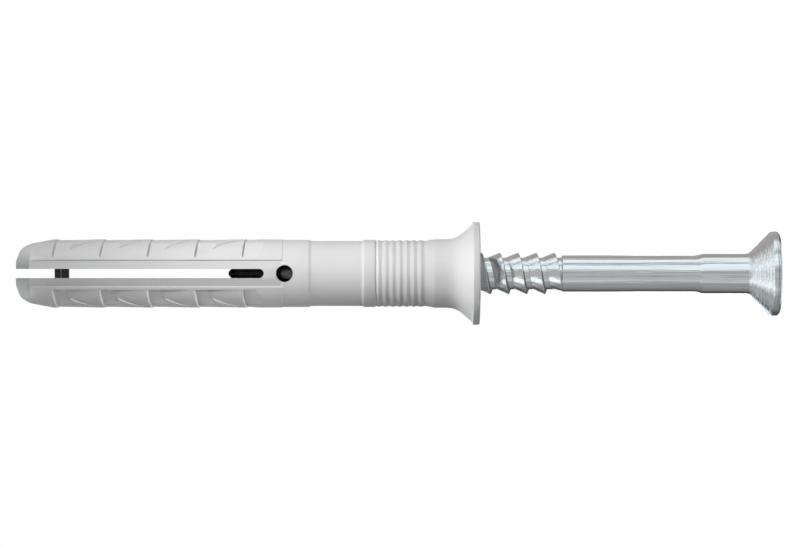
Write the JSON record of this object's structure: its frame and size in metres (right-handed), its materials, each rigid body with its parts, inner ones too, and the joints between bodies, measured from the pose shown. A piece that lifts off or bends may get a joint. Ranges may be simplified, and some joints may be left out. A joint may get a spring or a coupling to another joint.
{
  "type": "hammer fixing plug",
  "caption": "Split plastic wall plug with a barbed end and a flared flange, and a countersunk nail screw set part way in; hammering the nail home spreads the plug in its hole.",
  "frame": {"origin": "centre of the nail screw's flat head face, on which the part stands", "axes": "+Z along the common axis from the nail head to the tip of the sleeve; Y runs through the slit of the sleeve from wall to wall; X lies across the slit"},
  "size_m": [0.0124, 0.0124, 0.0915],
  "materials": {
    "nylon": "light grey moulded nylon, fine matt grain",
    "zinc_steel": "bright zinc-plated steel"
  },
  "bodies": {
    "root": {"expansion_sleeve": "nylon", "nail_screw": "zinc_steel"}
  },
  "joints": []
}
